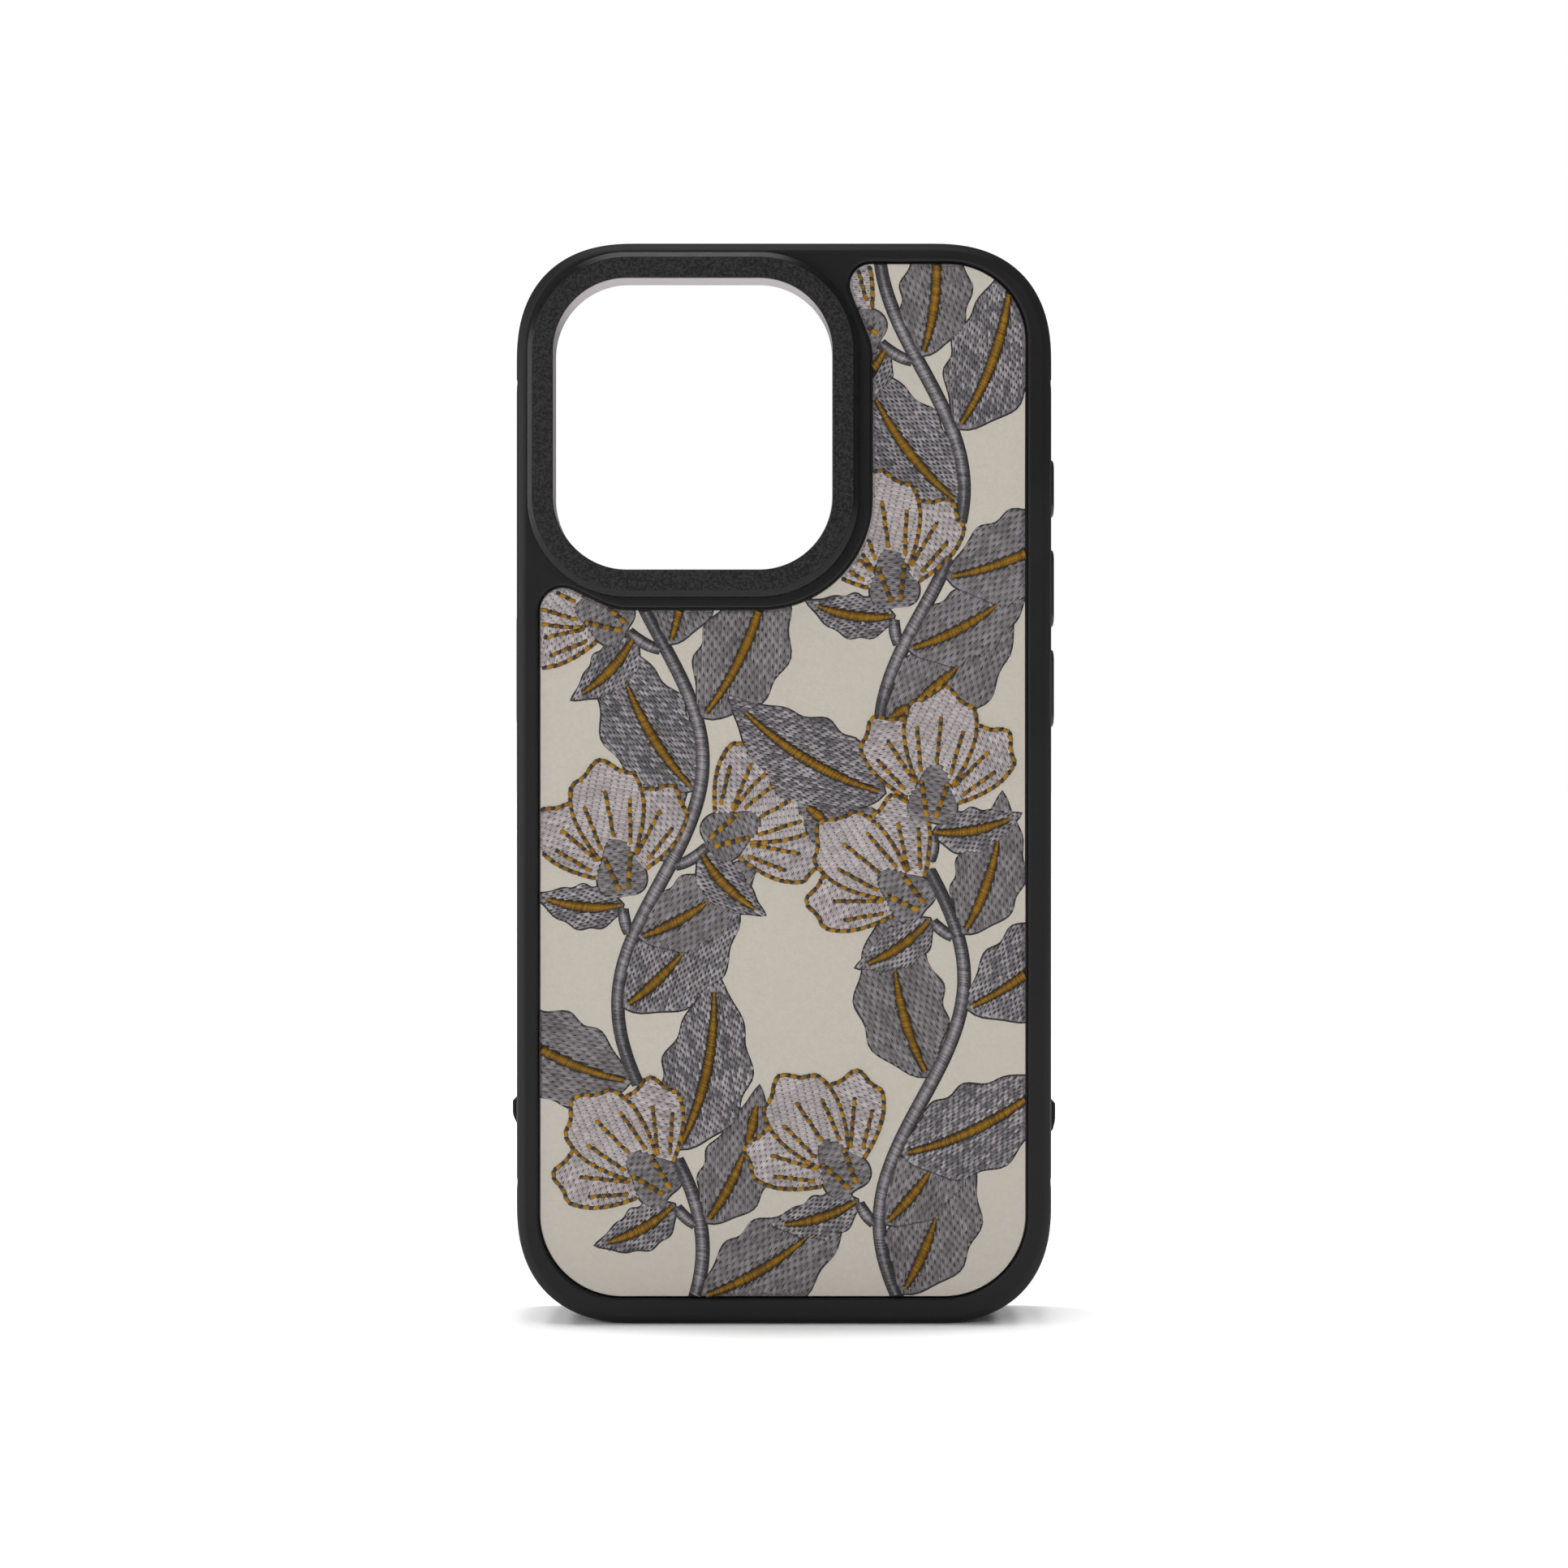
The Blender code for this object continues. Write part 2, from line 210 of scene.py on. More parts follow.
def make_looks():
    looks = {}
    looks["bumper"] = moulded(
        "soft_touch_rubber", linear(17, 17, 18), linear(22, 22, 23), 0.5, 0.22, 0.006,
        Specular_IOR_Level=0.2,
    )
    looks["plate"] = moulded(
        "hard_plate", linear(40, 40, 42), linear(45, 45, 47), 0.38, 0.3, 0.003,
    )
    looks["pad"] = moulded(
        "pad_silicone", linear(70, 70, 72), linear(80, 80, 82), 0.6, 0.2, 0.004,
    )
    looks["button"] = moulded(
        "button_cap", linear(18, 18, 19), linear(24, 24, 25), 0.3, 0.25, 0.003,
        Specular_IOR_Level=0.4,
    )

    leather = Look("cream_leather", Roughness=0.62, Specular_IOR_Level=0.35)
    patches = leather.noise(45, 5, 0.6)
    pores = leather.cells(2300)
    folds = leather.noise(1500, 4, 0.6)
    tint = leather.mix(
        leather.ramp(patches, 0.3, 0.7), linear(180, 173, 162), linear(182, 175, 165),
    )
    leather.colour(leather.mix(leather.ramp(folds, 0.35, 0.7), tint, linear(176, 169, 159)))
    leather.roughness(leather.ramp(patches, 0.3, 0.7, 0.56, 0.68))
    leather.bump(leather.noise(620, 3, 0.6, stretch=(0.4, 1, 1)), 0.06)
    leather.bump(folds, 0.03)
    leather.bump(pores, 0.02)
    looks["leather"] = leather

    for slot, dark, light in (
        # also laid along the stems' edges as painted shade
        ("ground_dark", (30, 28, 29), (52, 49, 51)),
        ("ground_mid", (70, 66, 69), (112, 107, 110)),
        ("ground_light", (112, 105, 105), (160, 152, 152)),
        # dark brown ground beside the gold ribs: painted shade
        ("ground_shade_brown", (26, 20, 12), (46, 35, 20)),
    ):
        ground = Look(slot, Roughness=0.75, Specular_IOR_Level=0.2)
        fibre = ground.noise(3200, 3)
        ground.colour(ground.mix(
            ground.ramp(fibre, 0.35, 0.65), linear(*dark), linear(*light)
        ))
        ground.bump(fibre, 0.03)
        looks[slot] = ground

    for slot, dark, light, rough in (
        ("thread_dark", (62, 59, 61), (134, 129, 132), 0.5),
        ("thread_mid", (76, 73, 77), (166, 161, 164), 0.5),
        ("thread_light", (124, 117, 117), (194, 185, 184), 0.52),
        ("thread_stem", (36, 34, 37), (166, 161, 165), 0.45),
        ("thread_gold", (70, 46, 3), (161, 117, 12), 0.5),
        # dark threads put where shade falls: painted shade along cords and painted shadow in gaps
        ("thread_brown", (12, 8, 4), (30, 21, 10), 0.5),
        ("thread_shadow", (12, 11, 11), (98, 90, 90), 0.6),
    ):
        gloss, fuzz = (0.25, 0.04) if slot == "thread_gold" else (0.45, 0.15)
        thread = Look(slot, Roughness=rough, Specular_IOR_Level=gloss, Sheen_Weight=fuzz)
        thread.shader.inputs["Sheen Roughness"].default_value = 0.4
        # the tone attribute holds each stitch's own tone and the painted shade at its ends
        tone = thread.attribute("tone")
        ply = thread.noise(5200, 2, 0.5)
        shade = thread.math("ADD", tone, thread.ramp(ply, 0.3, 0.7, -0.16, 0.16))
        thread.colour(thread.mix(thread.ramp(shade, 0, 1), linear(*dark), linear(*light)))
        thread.roughness(thread.ramp(ply, 0.3, 0.7, rough - 0.06, rough + 0.1))
        thread.bump(ply, 0.02)
        looks[slot] = thread

    face = Look("ring_face", Roughness=0.5, Specular_IOR_Level=0.22)
    specks = face.noise(3400, 2, 0.8)
    face.colour(face.mix(face.ramp(specks, 0.42, 0.60), linear(4, 4, 5), linear(40, 40, 41)))
    face.roughness(face.ramp(specks, 0.35, 0.65, 0.42, 0.62))
    face.bump(specks, 0.09)
    looks["ring_face"] = face

    edge = Look("ring_edge", Specular_IOR_Level=0.24)
    wear = edge.noise(700, 4)
    edge.colour(edge.mix(edge.ramp(wear, 0.3, 0.7), linear(8, 8, 9), linear(14, 14, 15)))
    edge.roughness(edge.ramp(wear, 0.3, 0.7, 0.26, 0.32))
    edge.bump(edge.noise(6000, 2), 0.004)
    looks["ring_edge"] = edge

    bore = Look("ring_bore", Metallic=0.2, Specular_IOR_Level=0.4)
    brushed = bore.noise(900, 3, 0.6, stretch=(1, 14, 1))
    bore.colour(bore.mix(
        bore.ramp(brushed, 0.3, 0.7), linear(132, 126, 129), linear(146, 140, 143)
    ))
    bore.roughness(bore.ramp(brushed, 0.3, 0.7, 0.34, 0.46))
    bore.bump(brushed, 0.004)
    looks["ring_bore"] = bore

    cloth = Look("microfibre", Roughness=0.95, Sheen_Weight=0.6, Specular_IOR_Level=0.2)
    cloth.shader.inputs["Sheen Roughness"].default_value = 0.5
    nap = cloth.noise(110, 4, 0.65)
    fibres = cloth.noise(2600, 4, 0.75)
    shade = cloth.math(
        "ADD", cloth.ramp(nap, 0.35, 0.65, 0.0, 0.4), cloth.ramp(fibres, 0.3, 0.7, 0.0, 0.6)
    )
    cloth.colour(cloth.mix(shade, linear(54, 54, 56), linear(80, 80, 82)))
    cloth.bump(nap, 0.25)
    cloth.bump(fibres, 0.16)
    looks["lining"] = cloth

    glue = Look("adhesive_sheet", Roughness=0.45, Specular_IOR_Level=0.5)
    weave = glue.noise(500, 3)
    glue.colour(glue.mix(glue.ramp(weave, 0.3, 0.7), linear(205, 201, 188), linear(218, 214, 204)))
    glue.roughness(glue.ramp(weave, 0.3, 0.7, 0.38, 0.55))
    glue.bump(weave, 0.01)
    looks["adhesive"] = glue

    film = Look("carrier_film", Roughness=0.3, Specular_IOR_Level=0.5)
    haze = film.noise(300, 3)
    film.colour(film.mix(film.ramp(haze, 0.3, 0.7), linear(222, 222, 218), linear(234, 234, 231)))
    film.roughness(film.ramp(haze, 0.3, 0.7, 0.24, 0.4))
    film.bump(haze, 0.006)
    looks["film"] = film

    magnet = Look("nickel_magnet", Metallic=1.0)
    plating = magnet.noise(420, 4)
    magnet.colour(magnet.mix(
        magnet.ramp(plating, 0.3, 0.7), linear(186, 184, 178), linear(206, 204, 198)
    ))
    magnet.roughness(magnet.ramp(plating, 0.3, 0.7, 0.2, 0.34))
    magnet.bump(magnet.noise(3500, 3), 0.003)
    looks["magnet"] = magnet
    return {name: look.mat for name, look in looks.items()}


LOOKS = make_looks()


# ---- Outlines and solids ----
def rounded(width, height, radius, centre=(0.0, MID_Z), power=2.0, steps=28):
    loop = []
    for quarter in range(4):
        sx, sy = ((1, 1), (-1, 1), (-1, -1), (1, -1))[quarter]
        for i in range(steps + 1):
            turn = math.pi / 2 * i / steps
            if quarter % 2:
                turn = math.pi / 2 - turn
            u = radius * max(math.cos(turn), 0.0) ** (2 / power)
            v = radius * max(math.sin(turn), 0.0) ** (2 / power)
            loop.append((
                centre[0] + sx * (width / 2 - radius + u),
                centre[1] + sy * (height / 2 - radius + v),
            ))
    return loop


def body_outline(inset):
    return rounded(
        OUTER[0] - 2 * inset, OUTER[1] - 2 * inset, CORNER - inset, power=SQUARENESS
    )


def cavity_outline(inset):
    return rounded(
        OUTER[0] - 2 * (WALL + inset), OUTER[1] - 2 * (END_WALL + inset),
        CORNER - WALL - inset, power=SQUARENESS,
    )


def round_rect(size, grow=0.0, centre=CAMERA):
    return rounded(size[0] + 2 * grow, size[1] + 2 * grow, size[2] + grow, centre)


def stadium(length, width, centre, steps=10):
    radius = width / 2
    loop = []
    for end in (1, -1):
        for i in range(2 * steps + 1):
            turn = math.pi * i / (2 * steps)
            loop.append((
                centre[0] + end * radius * math.cos(turn),
                centre[1] + end * (length / 2 - radius + radius * math.sin(turn)),
            ))
    return loop


def circle(radius, centre, steps):
    turns = [2 * math.pi * i / steps for i in range(steps)]
    return [(centre[0] + radius * math.cos(t), centre[1] + radius * math.sin(t)) for t in turns]


def filleted(corners, step_degrees=3.0):
    loop = []
    count = len(corners)
    for i, (x, z, radius) in enumerate(corners):
        here = Vector((x, z))
        back = (Vector(corners[i - 1][:2]) - here).normalized()
        ahead = (Vector(corners[(i + 1) % count][:2]) - here).normalized()
        half = back.angle(ahead) / 2
        centre = here + (back + ahead).normalized() * (radius / math.sin(half))
        start = here + back * (radius / math.tan(half)) - centre
        turn = math.pi - 2 * half
        side = 1 if back.x * ahead.y - back.y * ahead.x < 0 else -1
        steps = max(6, round(math.degrees(turn) / step_degrees))
        for k in range(steps + 1):
            loop.append(tuple(centre + Matrix.Rotation(side * turn * k / steps, 2) @ start))
    return loop


def offset(loop, distance):
    """A loop that runs anticlockwise, moved outwards by a small distance."""
    moved = []
    for i in range(len(loop)):
        before, after = Vector(loop[i - 1]), Vector(loop[(i + 1) % len(loop)])
        along = (after - before).normalized()
        moved.append((loop[i][0] + along.y * distance, loop[i][1] - along.x * distance))
    return moved


def place(axis, level, point):
    a, b = point
    return Vector({"X": (level, a, b), "Y": (a, level, b), "Z": (a, b, level)}[axis]) * MM


def loft(name, axis, levels, closed=False, slots=None):
    """A skin over outlines, capped or closed into a ring. slots names a material per band."""
    shape = bmesh.new()
    rings = [[shape.verts.new(place(axis, level, p)) for p in loop] for level, loop in levels]
    count = len(rings[0])
    pairs = list(zip(rings, rings[1:]))
    if closed:
        pairs.append((rings[-1], rings[0]))
    for band, (low, high) in enumerate(pairs):
        for i in range(count):
            j = (i + 1) % count
            face = shape.faces.new((low[i], low[j], high[j], high[i]))
            face.material_index = slots[band] if slots else 0
    if not closed:
        shape.faces.new(rings[0])
        shape.faces.new(rings[-1])
    bmesh.ops.recalc_face_normals(shape, faces=shape.faces)
    return to_object(name, shape)


def prism(name, axis, loop, low, high):
    return loft(name, axis, ((low, loop), (high, loop)))


def to_object(name, shape):
    mesh = bpy.data.meshes.new(name)
    shape.to_mesh(mesh)
    shape.free()
    made = bpy.data.objects.new(name, mesh)
    bpy.context.scene.collection.objects.link(made)
    return made


def combine(target, tools, operation):
    for tool in tools:
        step = target.modifiers.new(operation.lower(), "BOOLEAN")
        step.operation = operation
        step.solver = "EXACT"
        step.object = tool
    graph = bpy.context.evaluated_depsgraph_get()
    result = bpy.data.meshes.new_from_object(target.evaluated_get(graph))
    target.modifiers.clear()
    target.data = result
    for tool in tools:
        bpy.data.objects.remove(tool, do_unlink=True)


def smooth(made, degrees=32.0):
    """Smooth shading that keeps the edges sharper than an angle."""
    shape = bmesh.new()
    shape.from_mesh(made.data)
    bmesh.ops.remove_doubles(shape, verts=shape.verts, dist=1e-6)
    limit = math.radians(degrees)
    for face in shape.faces:
        face.smooth = True
    for edge in shape.edges:
        edge.smooth = len(edge.link_faces) == 2 and edge.calc_face_angle(0) < limit
    shape.to_mesh(made.data)
    shape.free()
    weighted = made.modifiers.new("weighted", "WEIGHTED_NORMAL")
    weighted.keep_sharp = True
    weighted.weight = 50


def flat_map(made):
    """A flat map of the piece, seen square on from behind the case."""
    mesh = made.data
    layer = mesh.uv_layers.new(name="OFBake")
    points = np.empty(len(mesh.vertices) * 3)
    mesh.vertices.foreach_get("co", points)
    points = points.reshape(-1, 3)
    corners = np.empty(len(mesh.loops), dtype=np.int32)
    mesh.loops.foreach_get("vertex_index", corners)
    at = points[corners]
    uv = np.stack([at[:, 0] - MAP_CORNER[0], at[:, 2] - MAP_CORNER[1]], axis=1) / MAP_SIZE
    layer.data.foreach_set("uv", uv.ravel())


def dress(made, *looks):
    if made.data.materials:
        made.data.materials.clear()
    for look in looks:
        made.data.materials.append(LOOKS[look])


def settle(made, body, slot, *replaced):
    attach(made, body)
    if replaced:
        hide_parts(*replaced)


# ---- The bumper frame ----
def build_bumper():
    shoulder = [
        (RIM, 1.52), (RIM + 0.02, 1.36), (RIM + 0.09, 1.18), (RIM + 0.22, 0.96),
        (RIM + 0.40, 0.70), (RIM + 0.60, 0.42), (RIM + 0.80, 0.21), (RIM + 1.05, 0.08),
        (RIM + 1.40, 0.015), (RIM + 1.75, 0.0),
    ]
    shoulder.append((FRONT_EDGE - FRONT_ROUND, 0.0))
    for i in range(1, 9):
        turn = math.radians(10.6 * i)
        shoulder.append((
            FRONT_EDGE - FRONT_ROUND * (1 - math.sin(turn)), 1.2 * (1 - math.cos(turn))
        ))
    shoulder.append((FRONT_EDGE, 1.45))
    body = loft("bumper_shell", "Y", [(y, body_outline(inset)) for y, inset in shoulder])

    # a flat pad low on one side wall, and a lug on each
    pad = [(37.4, 34.2), (37.95, 34.1), (38.12, 33.6), (38.12, 24.1), (37.95, 23.6), (37.4, 23.5)]
    combine(body, [prism("pad", "Y", pad, PHONE_BACK + 0.3, PHONE_BACK + 6.9)], "UNION")
    lugs = []
    for side, shape in (
        (1, ((37.4, 31.0), (LUG_REACH - 0.15, 31.0), (LUG_REACH, 30.8), (LUG_REACH, 28.7),
             (LUG_REACH - 0.08, 28.1), (38.52, 27.3), (38.35, 26.9), (37.4, 26.9))),
        (-1, ((37.4, 31.4), (LUG_REACH - 0.15, 31.35), (LUG_REACH, 31.2), (LUG_REACH, 29.6),
              (LUG_REACH - 0.08, 29.1), (38.0, 27.5), (37.4, 27.3))),
    ):
        loop = [(side * x, z) for x, z in shape]
        lugs.append(prism("lug", "Y", loop, PHONE_BACK + 0.8, PHONE_BACK + 6.4))
    combine(body, lugs, "UNION")

    opening = offset(filleted(PANEL_CORNERS), PANEL_GAP)
    mouth = LIP_OVERHANG
    tools = [
        prism("cavity", "Y", cavity_outline(0.0), FLANGE_FRONT, LIP_BACK),
        loft("mouth", "Y", (
            (LIP_BACK - 0.4, cavity_outline(mouth)),
            (FRONT_EDGE - 0.5, cavity_outline(mouth)),
            (FRONT_EDGE - 0.2, cavity_outline(mouth - 0.12)),
            (FRONT_EDGE + 0.2, cavity_outline(mouth - 0.45)),
        )),
        loft("panel_opening", "Y", (
            (RIM - 0.2, offset(opening, 0.62)),
            (RIM + 0.03, offset(opening, 0.32)),
            (RIM + 0.14, offset(opening, 0.12)),
            (RIM + 0.34, offset(opening, 0.02)),
            (RIM + 0.50, opening),
            (FLANGE_FRONT + 0.3, opening),
        )),
        prism(
            "camera_opening", "Y", round_rect(CAMERA_HOLE, SKIRT + 0.15),
            RIM - 1.0, FLANGE_FRONT + 0.3,
        ),
    ]
    for _, _, side, height, length, _ in BUTTONS:
        centre = (BUTTON_Y, height)
        pocket = stadium(length + 1.6, HEAD_WIDTH + 1.6, centre)
        inner, outer = sorted((side * 35.0, side * SHOULDER))
        tools.append(prism("pocket", "X", pocket, inner, outer))
        window = [
            (side * (SHOULDER - 0.2), stadium(length + 0.3, HEAD_WIDTH + 0.3, centre)),
            (side * 37.75, stadium(length + 0.3, HEAD_WIDTH + 0.3, centre)),
            (side * 37.97, stadium(length + 0.7, HEAD_WIDTH + 0.7, centre)),
            (side * 39.0, stadium(length + 1.2, HEAD_WIDTH + 1.2, centre)),
        ]
        tools.append(loft("window", "X", window if side > 0 else window[::-1]))
    for side in (1, -1):
        for height in SEAMS:
            reach = OUTER[0] / 2
            rise = 0.9 if height > 100 else 2.6
            loop = [
                (side * (reach - 0.15), height - 0.2), (side * (reach - 0.15), height + 0.3),
                (side * (reach + 0.3), height + rise), (side * (reach + 0.3), height - 4.0),
            ]
            tools.append(prism("groove", "Y", loop, PHONE_BACK - 2.2, PHONE_BACK + 8.0))
    port = [
        (level, [(b, a) for a, b in stadium(PORT[0] + grow, PORT[1] + grow, (BUTTON_Y, 0.0))])
        for level, grow in ((-0.5, 1.6), (0.0, 0.6), (0.1, 0.2), (0.3, 0.0), (4.0, 0.0))
    ]
    tools.append(loft("port", "Z", port))
    radius, first, spacing = SOUND_HOLES
    for side in (1, -1):
        for k in range(4):
            hole = circle(radius, (side * (first + spacing * k), BUTTON_Y), 24)
            tools.append(prism("sound_hole", "Z", hole, -1.0, 4.0))
    combine(body, tools, "DIFFERENCE")
    dress(body, "bumper")
    smooth(body)
    settle(body, "case", "bumper", "bumper_frame")


# ---- The camera ring and the buttons ----
def build_ring():
    hole = CAMERA_HOLE
    levels = [
        (RING_SEAT, round_rect(hole, SKIRT), 1),
        (PHONE_BACK - 0.10, round_rect(hole, SKIRT), 1),
        (PHONE_BACK - 0.10, round_rect(hole, -0.02), 2),
        (RING_FACE + 0.26, round_rect(hole, -0.12), 2),
        (RING_FACE + 0.12, round_rect(hole, -0.10), 2),
        (RING_FACE + 0.03, round_rect(hole, -0.04), 1),
        (RING_FACE, round_rect(hole, 0.06), 0),
        (RING_FACE, round_rect(RING_TOP, 0.24), 1),
        (RING_FACE + 0.04, round_rect(RING_TOP, 0.34), 1),
        (RING_FACE + 0.14, round_rect(RING_TOP, 0.42), 1),
        (RING_FACE + 0.46, round_rect(RING_OUTER, -0.10), 1),
        (RING_FACE + 0.58, round_rect(RING_OUTER, -0.02), 1),
        (RING_FACE + 0.70, round_rect(RING_OUTER), 1),
        (RING_SEAT - 0.05, round_rect(RING_OUTER), 1),
        (RING_SEAT, round_rect(RING_OUTER, -0.05), 1),
    ]
    ring = loft(
        "camera_ring_shell", "Y", [(y, loop) for y, loop, _ in levels], closed=True,
        slots=[slot for _, _, slot in levels],
    )
    dress(ring, "ring_face", "ring_edge", "ring_bore")
    smooth(ring, 50)
    settle(ring, "case", "camera_ring", "camera_ring")


def build_buttons():
    for name, body, side, height, length, reach in BUTTONS:
        centre = (BUTTON_Y, height)

        def loop(shrink):
            return stadium(length - 2 * shrink, HEAD_WIDTH - 2 * shrink, centre, 12)

        flange = stadium(length + 1.2, HEAD_WIDTH + 1.2, centre, 12)
        levels = [
            (BUTTON_FLANGE[0], flange), (BUTTON_FLANGE[1], flange),
            (BUTTON_FLANGE[1], loop(0.0)), (reach - 0.30, loop(0.0)),
            (reach - 0.17, loop(0.03)), (reach - 0.07, loop(0.11)),
            (reach - 0.02, loop(0.22)), (reach, loop(0.38)), (reach, loop(0.62)),
            (reach - 0.05, loop(0.80)), (reach - 0.07, loop(1.2)),
        ]
        cap = loft(f"{name}_cap", "X", [(side * x, outline) for x, outline in levels])
        dress(cap, "button")
        smooth(cap, 40)
        settle(cap, body, "button", name)


def build_lining():
    """The cloth inside, with a soft edge, lying on the plate."""
    edge = cavity_outline(0.25)
    cloth = loft("lining_cloth", "Y", (
        (LINING[0], edge), (LINING[1] - 0.12, edge),
        (LINING[1] - 0.04, cavity_outline(0.31)), (LINING[1], cavity_outline(0.43)),
    ))
    hole = prism("hole", "Y", round_rect(CAMERA_HOLE, SKIRT + 0.3), LINING[0] - 1, LINING[1] + 1)
    combine(cloth, [hole], "DIFFERENCE")
    dress(cloth, "lining")
    smooth(cloth)
    settle(cloth, "case", "lining", "microfiber_lining")


# ---- The panel's pattern: two winding stems with leaves and blossoms of a plain, repeated kind.
# Positions are millimetres in the case's frame, and angles are radians. ----
# kind: thread, ground, pitch, stitch length, row shifts, tone range, and the length, width
# and tone of the painted shadow in the gap where one stitch meets the next
FILLS = {
    "dark": ("thread_dark", "ground_mid", 0.54, 1.50, (0, 0.5), (0.3, 0.8), 0.95, 0.30, 0.2),
    "mixed": ("thread_mid", "ground_mid", 0.34, 1.20, (0, 0.4, 0.8), (-0.1, 0.8), 0.72, 0.24, 0.0),
    "mid": ("thread_mid", "ground_mid", 0.40, 1.05, (0, 0.5), (0.1, 0.8), 0.82, 0.31, 0.0),
    "light": ("thread_light", "ground_light", 0.56, 1.15, (0, 0.5), (0.2, 0.7), 0.72, 0.22, 0.5),
    "plain": ("thread_light", "ground_light", 0.60, 1.02, (0, 0.03), (0.3, 0.6), 0.34, 0.22, 0.5),
}


def area(loop):
    return sum(a[0] * b[1] - b[0] * a[1] for a, b in zip(loop, loop[1:] + loop[:1])) / 2


class Floral:
    """Patches and lines of the pattern, in drawing order."""

    LEAF_KINDS = ("dark", "mid", "mixed", "dark", "mid")
    BLOSSOM_SIZE = 15.5

    def __init__(self):
        self.patches, self.lines = [], []

    def patch(self, kind, angle, loop):
        self.patches.append((kind, math.degrees(angle), loop if area(loop) > 0 else loop[::-1]))

    def line(self, what, widths, path):
        self.lines.append((what, widths, path, len(self.patches)))

    def shown(self, wanted):
        """The widths and points of each part of a line that no later patch covers."""
        for what, widths, path, first in self.lines:
            if what != wanted:
                continue
            low, high = np.min(path, axis=0), np.max(path, axis=0)
            covers = [np.array(patch[2]) for patch in self.patches[first:]]
            covers = [c for c in covers if (c.min(0) < high).all() and (c.max(0) > low).all()]
            part = []
            for point in path + [None]:
                if point and not any(inside(point, cover) for cover in covers):
                    part.append(point)
                    continue
                if len(part) > 3:
                    yield widths, part
                part = []

    def leaf(self, kind, at, turn, length, width, bend):
        """A pointed leaf with a gold rib, which bends to one side."""
        def point(t, across):
            slope = math.atan(2 * bend * t)
            u = length * t - across * math.sin(slope)
            v = length * bend * t * t + across * math.cos(slope)
            return turned(at, turn, u, v)

        edge = [
            (t, width / 2 * math.sin(math.pi * t ** 0.8) * (1 + 0.08 * math.cos(8 * math.pi * t)))
            for t in (i / 32 for i in range(33))
        ]
        loop = [point(t, half) for t, half in edge]
        loop += [point(t, -half) for t, half in edge[-2:0:-1]]
        self.patch(kind, turn + bend + 0.35, loop)
        self.line("rib", (0.7, 1.4, 0.5), [point(0.04 + 0.84 * i / 60, 0.0) for i in range(61)])

    def petal(self, kind, at, turn, reach, half):
        """A petal that widens outwards to a scalloped end, edged and veined in gold."""
        def rim(a):
            scallop = 1 + 0.045 * math.cos(7 * a) * max(0.0, math.cos(a))
            u = reach * (0.53 + 0.47 * math.cos(a)) * scallop
            return turned(at, turn, u, half * math.sin(a) * (0.70 + 0.30 * math.cos(a)))

        self.patch(kind, turn + 1.2, [rim(math.tau * i / 72) for i in range(72)])
        self.line("run", 0.58, [rim(2.3 * (i / 60 - 1)) for i in range(121)])
        for aside, far in ((-0.5, 0.68), (0.0, 0.78), (0.5, 0.68)):
            path = []
            for i in range(41):
                t = 0.3 + (far - 0.3) * i / 40
                path.append(turned(at, turn, reach * t, half * aside * (0.35 + 0.9 * t)))
            self.line("run", 0.62, path)

    def blossom(self, at, turn, size):
        """Three petals that open from a dark cup, seen from the side."""
        for side in (-1, 1):
            self.petal("light", at, turn + 0.68 * side, size * 0.95, size * 0.36)
        self.petal("plain", at, turn, size * 1.08, size * 0.44)
        cup = []
        for i in range(60):
            a = math.tau * i / 60
            r = size * 0.21 * (1 + 0.16 * math.cos(3 * a))
            cup.append(turned(at, turn, size * 0.10 + r * 1.25 * math.cos(a), r * math.sin(a)))
        self.patch("dark", turn + 1.5, cup)
        for side in (-1, 1):
            self.line("run", 0.85, [
                turned(
                    at, turn, size * (0.32 * i / 30 - 0.08), size * side * (0.04 + 0.08 * i / 30)
                )
                for i in range(31)
            ])

    def vine(self, middle, sway, wave, phase, top, step):
        """A winding stem, its leaves turn about on both sides, and then its blossoms."""
        def stem(z):
            return (middle + sway * math.sin(z / wave + phase), z)

        blossoms = []
        for number in range(int(top / step)):
            z = step * (number + 0.4)
            side = 1 if number % 2 else -1
            heading = math.atan2(0.5, stem(z + 0.5)[0] - stem(z)[0])
            at = turned(stem(z), heading, 0.0, side * 0.75)
            kind = self.LEAF_KINDS[number % 5]
            if number % 4 == 1 or number % 8 == 6:
                out = heading + side * 0.85
                path = [turned(at, out, 0.5 * i, -side * 0.016 * i * i) for i in range(13)]
                self.line("stem", (1.2, 1.4, 1.2), path)
                blossoms.append((turned(path[-1], out, 1.0, 0.0), out - side * 0.25))
                at = turned(stem(z), heading, 0.0, -side * 0.75)
                self.leaf("dark", at, heading - side * 0.85, 20.0, 9.6, side * 0.30)
                self.leaf("mid", path[8], out + side * 1.35, 12.0, 6.0, -side * 0.35)
            else:
                self.leaf(kind, at, heading + side * 0.98, 25.0, 12.2, -side * 0.32)
        self.line("stem", (1.5, 1.7, 1.5), [stem(0.5 * i) for i in range(int(2 * top))])
        for at, turn in blossoms:
            self.blossom(at, turn, self.BLOSSOM_SIZE)


def turned(at, turn, u, v):
    """A point u along and v across from another point, in a turned frame."""
    return (
        at[0] + u * math.cos(turn) - v * math.sin(turn),
        at[1] + u * math.sin(turn) + v * math.cos(turn),
    )


